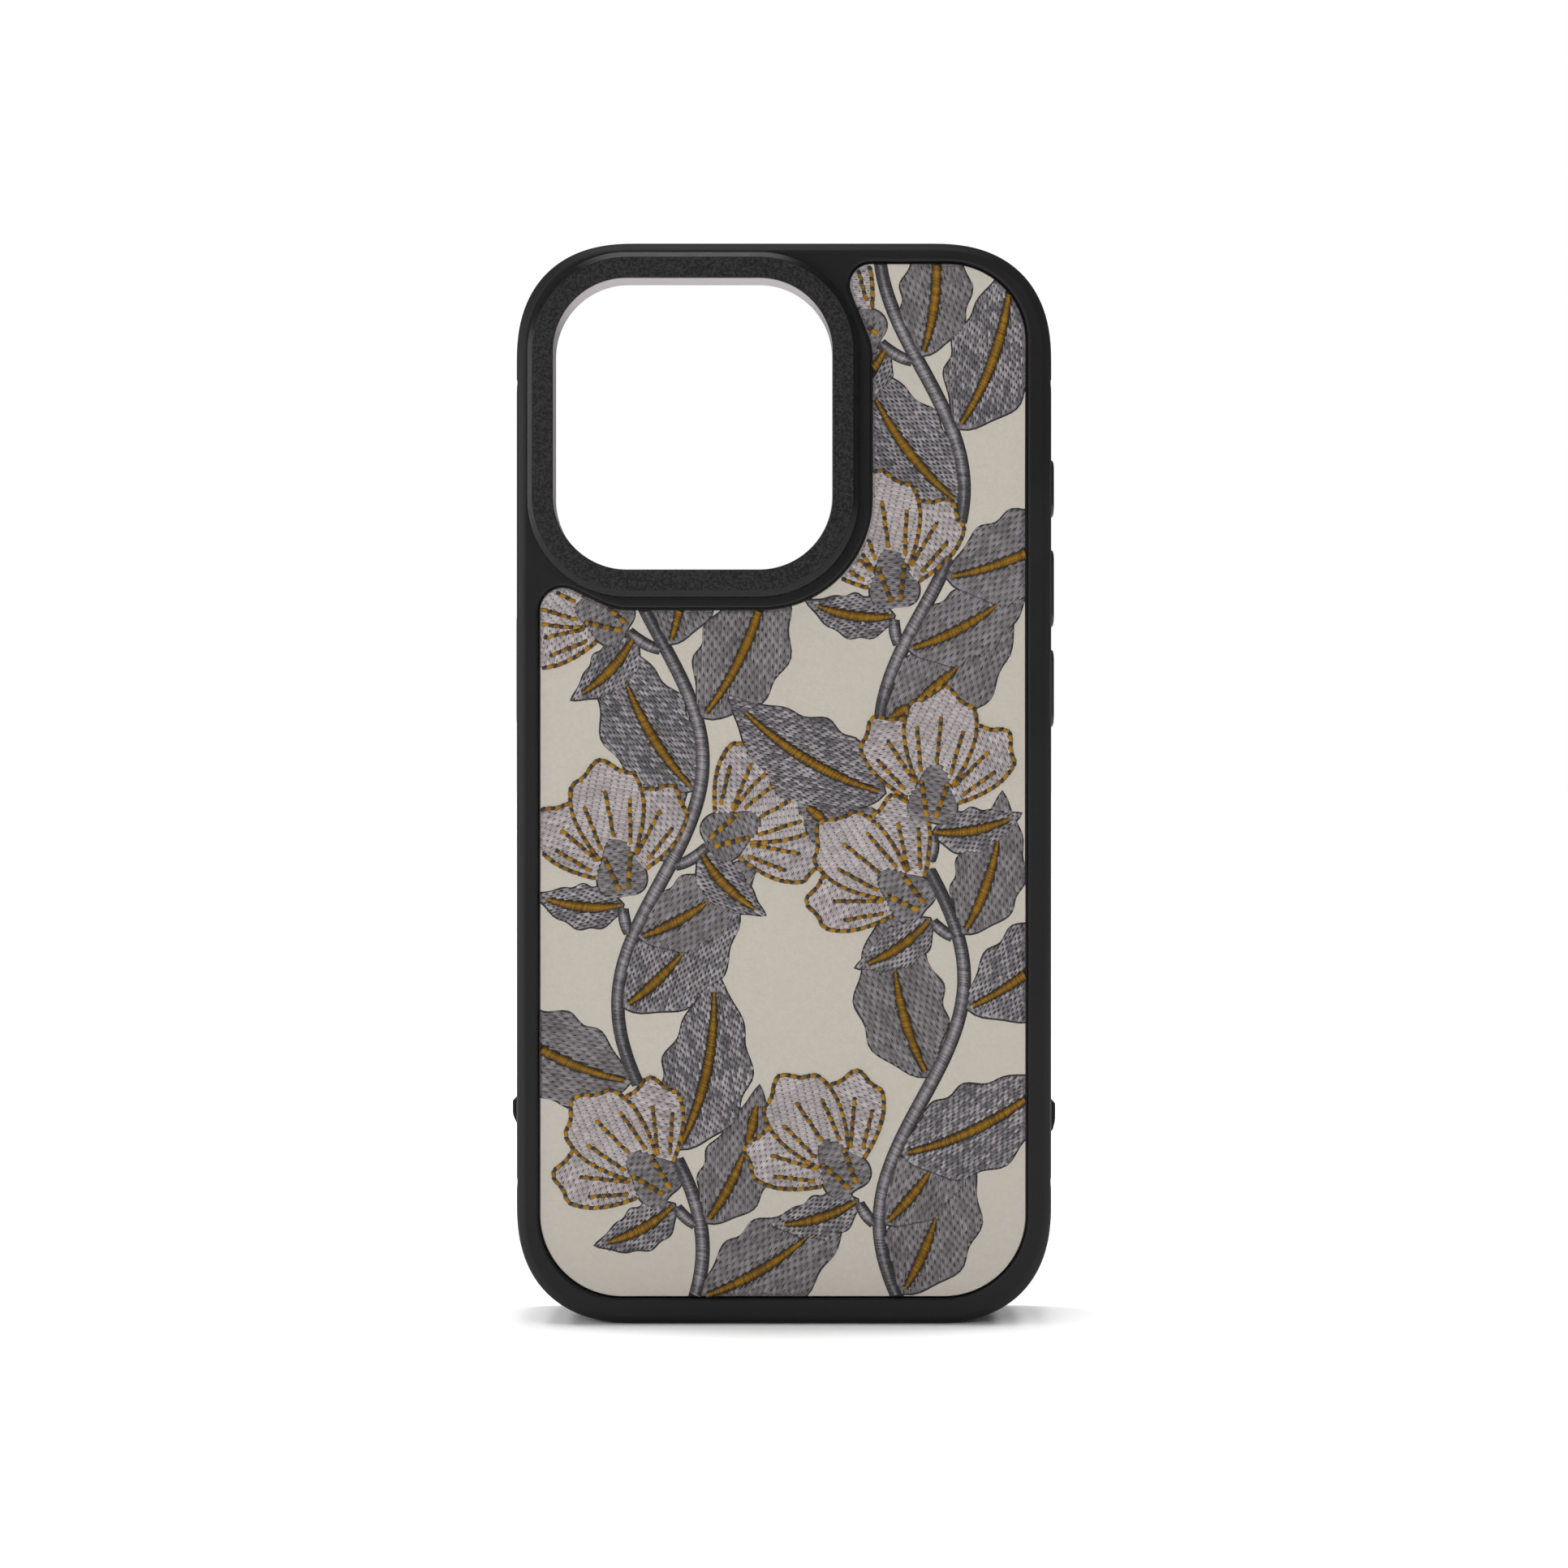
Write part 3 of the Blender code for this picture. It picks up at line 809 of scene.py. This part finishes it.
class Stitches:
    """Collects lens-shaped stitches and makes one mesh of them for each thread."""

    # along the stitch: 0 its ends, 1 where the taper stops, 2 the middle
    STATIONS = (0, 1, 2, 1, 0)
    LIFT = (0.05, 0.70, 1.0)
    # painted shade: how far each station's tone is darkened, most at the stitch's ends
    PAINTED_SHADE = (1.0, 0.5, 0.0)

    def __init__(self):
        self.rows = {}

    def add(self, thread, a, b, width, height, tone, base=0.0, painted_end_shade=0.0, taper=0.2, tip=0.4):
        """Taper is a share of the stitch's length, tip the share of its width at its ends. The end
        shade darkens its tone towards its ends: a painted shade.
        """
        self.rows.setdefault(thread, []).append(
            (*a, *b, width, height, tone, base, painted_end_shade, taper, tip)
        )

    def build(self, thread, name):
        data = np.array(self.rows[thread])
        start, end = data[:, 0:2], data[:, 2:4]
        width, height, tone, base, painted_end_shade, taper, tip = data[:, 4:11].T
        wide = (tip, 0.5 * tip + 0.5, np.ones(len(data)))
        along = end - start
        across = np.stack([-along[:, 1], along[:, 0]], axis=1)
        across /= np.linalg.norm(across, axis=1, keepdims=True) + 1e-9
        count, rings = len(data), len(self.STATIONS)
        points = np.empty((count, rings, 4, 3))
        for r, kind in enumerate(self.STATIONS):
            t = (0.0 * taper, taper, 0.5 + 0.0 * taper)[kind]
            centre = start + along * (t if r < 3 else 1 - t)[:, None]
            for c, (s, lift) in enumerate(((-0.5, 0.0), (-0.22, 0.88), (0.22, 0.88), (0.5, 0.0))):
                flat = centre + across * (s * wide[kind] * width)[:, None]
                points[:, r, c, 0] = flat[:, 0]
                points[:, r, c, 2] = flat[:, 1]
                points[:, r, c, 1] = PANEL[0] - base - height * self.LIFT[kind] * lift
        points[:, :, (0, 3), 1] = (PANEL[0] + 0.02 - base)[:, None, None]
        faces = []
        for r in range(rings - 1):
            for c in range(4):
                d = (c + 1) % 4
                faces.append((r * 4 + c, r * 4 + d, (r + 1) * 4 + d, (r + 1) * 4 + c))
        faces += [(3, 2, 1, 0), tuple((rings - 1) * 4 + c for c in range(4))]
        faces = np.array(faces)
        index = (np.arange(count) * rings * 4)[:, None, None] + faces[None]
        mesh = bpy.data.meshes.new(name)
        flat_points = (points.reshape(-1, 3) * MM).ravel()
        total = index.reshape(-1, 4)
        mesh.vertices.add(count * rings * 4)
        mesh.vertices.foreach_set("co", flat_points)
        mesh.loops.add(total.size)
        mesh.loops.foreach_set("vertex_index", total.ravel())
        mesh.polygons.add(len(total))
        mesh.polygons.foreach_set("loop_start", np.arange(len(total)) * 4)
        mesh.update(calc_edges=True)
        mesh.validate()
        shade = mesh.attributes.new("tone", "FLOAT", "POINT")
        # painted shade: the tone is lowered towards each stitch's ends
        darker = np.array([self.PAINTED_SHADE[kind] for kind in self.STATIONS])
        tones = np.clip(tone[:, None] - painted_end_shade[:, None] * darker[None], 0.0, 1.0)
        shade.data.foreach_set("value", np.repeat(tones.ravel(), 4))
        mesh.polygons.foreach_set("use_smooth", np.ones(len(mesh.polygons), dtype=bool))
        shape = bmesh.new()
        shape.from_mesh(mesh)
        bmesh.ops.recalc_face_normals(shape, faces=shape.faces)
        shape.to_mesh(mesh)
        shape.free()
        made = bpy.data.objects.new(name, mesh)
        bpy.context.scene.collection.objects.link(made)
        flat_map(made)
        return made


def crossings(loop, level):
    """Where a horizontal line crosses a loop, as a sorted list of pairs."""
    z0 = loop[:, 1]
    z1 = np.roll(z0, -1)
    hit = (z0 <= level) != (z1 <= level)
    x0, x1 = loop[hit, 0], np.roll(loop[:, 0], -1)[hit]
    a, b = z0[hit], z1[hit]
    xs = np.sort(x0 + (level - a) / (b - a) * (x1 - x0))
    return [(xs[i], xs[i + 1]) for i in range(0, len(xs) - 1, 2)]


def intersect(first, second):
    out = []
    for a, b in first:
        for c, d in second:
            low, high = max(a, c), min(b, d)
            if high > low:
                out.append((low, high))
    return out


def subtract(first, second):
    for c, d in second:
        kept = []
        for a, b in first:
            if d <= a or c >= b:
                kept.append((a, b))
                continue
            if c > a:
                kept.append((a, c))
            if d < b:
                kept.append((d, b))
        first = kept
    return first


def strip(line, widths, grow):
    """The outline of a cord that follows a line, wider by a margin on each side."""
    left, right = [], []
    steps = resample(line, 0.4)
    for i, (at, along) in enumerate(steps):
        t = i / max(1, len(steps) - 1)
        wide = cord_width(widths, t) / 2 + grow
        side = Vector((-along.y, along.x)) * wide
        left.append(tuple(at + side))
        right.append(tuple(at - side))
    return right + left[::-1]


def cord_width(widths, t):
    first, middle, last = widths
    end = first if t < 0.5 else last
    return end + (middle - end) * math.sin(math.pi * t)


def fill_stitches(stitches, patches, limit, ribs):
    """Staggered rows of stitches in each patch, left out where a later patch covers it."""
    for index, (kind, angle, loop) in enumerate(patches):
        thread, _, pitch, length, shifts, tones, gap, gap_width, gap_tone = FILLS[kind]
        turn = math.radians(angle)
        spin = np.array([[math.cos(turn), math.sin(turn)], [-math.sin(turn), math.cos(turn)]])
        here = np.array(loop)
        low, high = here.min(axis=0), here.max(axis=0)
        covers = []
        for other in [patch[2] for patch in patches[index + 1:]] + ribs:
            there = np.array(other)
            if (there.min(axis=0) < high).all() and (there.max(axis=0) > low).all():
                covers.append(there @ spin.T)
        local, frame_loop = here @ spin.T, np.array(limit) @ spin.T
        bottom, top = local[:, 1].min(), local[:, 1].max()
        row = math.ceil(bottom / pitch)
        while row * pitch < top:
            level = row * pitch + 0.013
            spans = crossings(local, level)
            for height in (level - ROW_CLEAR, level, level + ROW_CLEAR):
                spans = intersect(spans, crossings(frame_loop, height))
            for cover in covers:
                spans = subtract(spans, crossings(cover, level))
            shift = shifts[row % len(shifts)] * length
            for a, b in spans:
                a, b = a + END_GAP, b - END_GAP
                at = math.floor((a - shift) / length) * length + shift
                while at < b:
                    begin = max(a, at + random.uniform(-END_JITTER, END_JITTER))
                    end = min(b, at + length + random.uniform(-END_JITTER, END_JITTER))
                    at += length
                    if end - begin < SHORTEST:
                        continue
                    sway = random.uniform(-0.04, 0.04)
                    ends = np.array([
                        [max(a, begin - 0.1), level + sway], [min(b, end + 0.1), level - sway],
                    ]) @ spin
                    cloud = noise.noise(Vector((ends[0][0] * 0.22, ends[0][1] * 0.22, 5.0)))
                    tone = tones[0] + (tones[1] - tones[0]) * random.random() + 0.2 * cloud
                    # painted shade: the stitch darkens a little towards its ends
                    stitches.add(
                        thread, ends[0], ends[1], pitch * 1.42, 0.12 + random.uniform(0, 0.03),
                        tone, 0.0, 0.12, 0.10, 0.85,
                    )
                    if end < b:
                        reach = gap * random.uniform(0.35, 0.6)
                        lean = level + random.uniform(-0.05, 0.05)
                        hole = np.array([[end - reach, lean], [end + reach, level]]) @ spin
                        # a dark tick in the gap at the stitch's end: painted shadow
                        stitches.add(
                            "thread_shadow", hole[0], hole[1],
                            gap_width * random.uniform(0.75, 1.2), 0.07,
                            gap_tone + random.uniform(-0.2, 0.2), 0.1, 0.0, 0.3, 0.3,
                        )
            row += 1


def inside(point, loop):
    return any(a <= point[0] <= b for a, b in crossings(loop, point[1]))


def resample(line, step):
    """Points at even steps along a line, with their directions."""
    out, left = [], 0.0
    for a, b in zip(line, line[1:]):
        a, b = Vector(a), Vector(b)
        span = (b - a).length
        while span > 0 and left <= span:
            out.append((a.lerp(b, left / span), (b - a).normalized()))
            left += step
        left -= span
    return out


def satin(stitches, thread, line, widths, limit, stem):
    """A cord of stitches laid side by side across a line."""
    steps = resample(line, 0.2)
    for i, (at, along) in enumerate(steps):
        if not inside(at, limit):
            continue
        t = i / max(1, len(steps) - 1)
        width = cord_width(widths, t) * random.uniform(0.94, 1.06)
        side = Vector((-along.y, along.x))
        across = side * (width / 2) + along * 0.12
        tone = random.uniform(0.55, 1.0) if stem else random.uniform(0.4, 0.9)
        # painted shade: a stem's tone darkens towards both ends, where it meets a leaf or flower
        if stem:  # darker where it meets a leaf or flower
            tone *= 0.35 + 0.65 * min(1.0, 4 * t, 4 * (1 - t))
            at = at + side * 0.05 * width
        # painted shade: dark thread along both edges of the cord, where its edges fall into shade
        reach = side * (width / 2 + random.uniform(0.04, 0.12 if stem else 0.40)) + along * 0.16
        stitches.add(
            "thread_shadow" if stem else "thread_brown", tuple(at - reach), tuple(at + reach),
            0.24, 0.12, random.uniform(0.0, 0.6), 0.04, 0.0, 0.3, 0.2,
        )
        # painted shade: each stitch darkens towards the cord's edges, strongly on stems
        stitches.add(
            thread, tuple(at - across), tuple(at + across), 0.29, 0.13 + 0.05 * width, tone,
            0.03, 0.9 if stem else 0.5, 0.26, 0.5,
        )


def running(stitches, line, width, limit):
    """Gold stitches, with dark brown stitches between them as painted shadow where the thread
    dips.
    """
    width = 0.2 + 0.8 * width
    gold, dark = 0.72 + 0.40 * width, 0.34 + 0.2 * width
    steps = resample(line, 0.05)
    at, turn = 0, 0
    while at < len(steps) - 3:
        length = (gold, dark)[turn] * random.uniform(0.93, 1.07)
        last = min(len(steps) - 1, at + round(length / 0.05))
        a, b = steps[at][0], steps[last][0]
        if inside(a, limit) and inside(b, limit) and (b - a).length > 0.12:
            along = (b - a).normalized()
            reach = along * (0.07, 0.14)[turn] + Vector((-along.y, along.x)) * width * 0.16
            # a gold stitch, or a dark brown one between two as painted shadow; each darkens
            # towards its ends as painted shade
            stitches.add(
                ("thread_gold", "thread_brown")[turn], tuple(a - reach), tuple(b + reach),
                width * (1.0, 1.02)[turn], (0.12 + 0.12 * width, 0.13 + 0.08 * width)[turn],
                random.uniform(0.3, 0.9), (0.08, 0.07)[turn], 0.3, 0.16, 0.68,
            )
        at, turn = last, 1 - turn


def build_panel(patches, cords, ribs):
    """The leather with the ground of each motif worked into its face, and dark bands of painted
    shade along the stems and gold ribs.
    """
    outline = offset(filleted(PANEL_CORNERS), -0.12)
    points, loops = [], []
    grounds = ["leather"]

    def add(loop):
        loops.append(list(range(len(points), len(points) + len(loop))))
        points.extend(Vector(p) for p in loop)

    add(outline)
    # a dark ground band along each stem: painted shade at its edges
    for line, widths in cords:
        add(strip(line, widths, 0.17))
        grounds.append("ground_dark")
    for kind, _, loop in patches:
        if FILLS[kind][0] != "thread_light":  # a dark outline
            add(offset(loop, 0.24))
            grounds.append("ground_dark")
        add(loop)
        grounds.append(FILLS[kind][1])
    # the bands along the gold ribs, in dark brown: painted shade
    for loop in ribs:
        add(loop)
        grounds.append("ground_shade_brown")

    verts, _, faces, _, _, owners = delaunay_2d_cdt(points, [], loops, 1, 1e-5)
    names = ["leather", "ground_dark", "ground_mid", "ground_light", "ground_shade_brown"]
    shape = bmesh.new()
    spots = [shape.verts.new(Vector((v.x, PANEL[0], v.y)) * MM) for v in verts]
    for face, owner in zip(faces, owners):
        if 0 not in owner or len(set(face)) < 3:
            continue
        made = shape.faces.new([spots[i] for i in face])
        made.material_index = names.index(grounds[max(owner)])
    for spot in list(shape.verts):
        if not spot.link_faces:
            shape.verts.remove(spot)
    bmesh.ops.recalc_face_normals(shape, faces=shape.faces)
    if sum(f.normal.y * f.calc_area() for f in shape.faces) > 0:
        bmesh.ops.reverse_faces(shape, faces=shape.faces)

    # rolled edge and sides
    rim = [edge for edge in shape.edges if len(edge.link_faces) == 1]
    centre_line = np.array(outline)
    for out, down in ((0.08, 0.04), (0.04, 0.12), (0.0, 0.49)):
        made = bmesh.ops.extrude_edge_only(shape, edges=rim)["geom"]
        rim = [g for g in made if isinstance(g, bmesh.types.BMEdge)]
        moved = [g for g in made if isinstance(g, bmesh.types.BMVert)]
        for vert in moved:
            x, z = vert.co.x / MM, vert.co.z / MM
            gap = np.hypot(centre_line[:, 0] - x, centre_line[:, 1] - z)
            i = int(gap.argmin())
            before, after = centre_line[i - 1], centre_line[(i + 1) % len(centre_line)]
            along = Vector(after - before).normalized()
            vert.co += Vector((along.y * out, down, -along.x * out)) * MM
    bmesh.ops.contextual_create(shape, geom=rim)
    bmesh.ops.recalc_face_normals(shape, faces=shape.faces)
    for face in shape.faces:
        face.smooth = abs(face.normal.y) < 0.98
    panel = to_object("leather_panel_face", shape)
    dress(panel, *names)
    flat_map(panel)
    settle(panel, "case", "leather", "leather_panel")


def build_pattern():
    floral = Floral()
    floral.vine(middle=-17.5, sway=6.0, wave=11.0, phase=0.6, top=104.0, step=10.2)
    floral.vine(middle=19.5, sway=6.0, wave=11.0, phase=3.4, top=152.0, step=10.2)
    limit = np.array(offset(filleted(PANEL_CORNERS), -0.16))
    stitches = Stitches()
    cords = [(line, widths) for widths, line in floral.shown("stem")]
    ribs = [(line, widths) for widths, line in floral.shown("rib")]
    # bands of dark brown ground along the gold ribs: painted shade beside them
    rib_shade_bands = [strip(line, widths, 0.12) for line, widths in ribs]
    rib_shade_bands = [loop if area(loop) > 0 else loop[::-1] for loop in rib_shade_bands]
    # the fills stop short of the ribs and stems, so the painted shade there shows
    over = rib_shade_bands + [strip(line, widths, 0.05) for line, widths in cords]
    fill_stitches(stitches, floral.patches, limit, over)
    for line, widths in cords:
        satin(stitches, "thread_stem", line, widths, limit, True)
    for line, widths in ribs:
        satin(stitches, "thread_gold", line, widths, limit, False)
    for width, line in floral.shown("run"):
        running(stitches, line, width, limit)
    build_panel(floral.patches, cords, rib_shade_bands)
    for thread in sorted(stitches.rows):
        made = stitches.build(thread, f"stitches_{thread.split('_')[1]}")
        dress(made, thread)
        settle(made, "case", "leather")


# ---- Put together ----
build_bumper()
build_ring()
build_buttons()
build_lining()
build_pattern()

NODE_LOOKS = {
    "back_plate": "plate", "panel_adhesive": "adhesive", "camera_ring_adhesive": "adhesive",
    "magnet_film": "film", "alignment_magnet": "magnet",
}
for number in range(1, RING_MAGNETS + 1):
    NODE_LOOKS[f"ring_magnet_{number:02d}"] = "magnet"
for button in BUTTONS:
    NODE_LOOKS[f"{button[0]}_pad"] = "pad"
for node, look in NODE_LOOKS.items():
    made = bpy.data.objects[node]
    for slot in made.material_slots:
        slot.material = LOOKS[look]


# ---- Floor, light and camera ----
def build_stage():
    shape = bmesh.new()
    bmesh.ops.create_grid(shape, x_segments=2, y_segments=2, size=20.0)
    floor = to_object("floor", shape)
    look = Look("pale_floor", Roughness=0.9, Specular_IOR_Level=0.1)
    shade = look.noise(3, 2)
    look.colour(look.mix(
        look.ramp(shade, 0.3, 0.7), (0.93, 0.93, 0.93, 1.0), (0.95, 0.95, 0.95, 1.0)
    ))
    floor.data.materials.append(look.mat)

    world = bpy.data.worlds.new("soft_room")
    bpy.context.scene.world = world
    world.use_nodes = True
    tree = world.node_tree
    room = tree.nodes["Background"]
    room.inputs["Color"].default_value = (1.0, 1.0, 1.0, 1.0)
    room.inputs["Strength"].default_value = 0.25
    backdrop = tree.nodes.new("ShaderNodeBackground")
    backdrop.inputs["Color"].default_value = (1.0, 1.0, 1.0, 1.0)
    backdrop.inputs["Strength"].default_value = 1.0
    seen = tree.nodes.new("ShaderNodeLightPath")
    choose = tree.nodes.new("ShaderNodeMixShader")
    tree.links.new(seen.outputs["Is Camera Ray"], choose.inputs["Fac"])
    tree.links.new(room.outputs[0], choose.inputs[1])
    tree.links.new(backdrop.outputs[0], choose.inputs[2])
    tree.links.new(choose.outputs[0], tree.nodes["World Output"].inputs["Surface"])

    def area_light(name, where, size, power):
        data = bpy.data.lights.new(name, "AREA")
        data.shape = "RECTANGLE"
        data.size, data.size_y = size
        data.energy = power
        light = bpy.data.objects.new(name, data)
        light.location = where
        aim = Vector((0, 0, 0.08)) - Vector(where)
        light.rotation_euler = aim.to_track_quat("-Z", "Y").to_euler()
        bpy.context.scene.collection.objects.link(light)

    # an overhead light that is wide from side to side and narrow from front to back
    for number, tilt in enumerate((-40, -20, 0, 20, 40)):
        sun = bpy.data.lights.new(f"overhead_{number}", "SUN")
        sun.energy = 0.8
        sun.angle = math.radians(13)
        light = bpy.data.objects.new(sun.name, sun)
        light.rotation_euler = (math.radians(-5.5), math.radians(tilt), 0.0)
        light.visible_glossy = False
        bpy.context.scene.collection.objects.link(light)
    area_light("key", (-0.75, -0.95, 0.65), (0.7, 0.7), 4.6)
    area_light("left_strip", (-0.8, -0.12, 0.14), (0.25, 0.6), 1.9)
    area_light("top_strip", (-0.05, -0.09, 0.55), (0.3, 0.12), 0.6)


def build_camera():
    data = bpy.data.cameras.new("camera")
    data.lens = 50.69
    data.sensor_width = 36.0
    data.clip_start = 0.01
    camera = bpy.data.objects.new("camera", data)
    camera.location = (0.0, RIM * MM - 0.312, 0.0765)
    camera.rotation_euler = (math.pi / 2, 0.0, 0.0)
    bpy.context.scene.collection.objects.link(camera)
    bpy.context.scene.camera = camera


build_stage()
build_camera()
bpy.context.scene.view_settings.view_transform = "Standard"
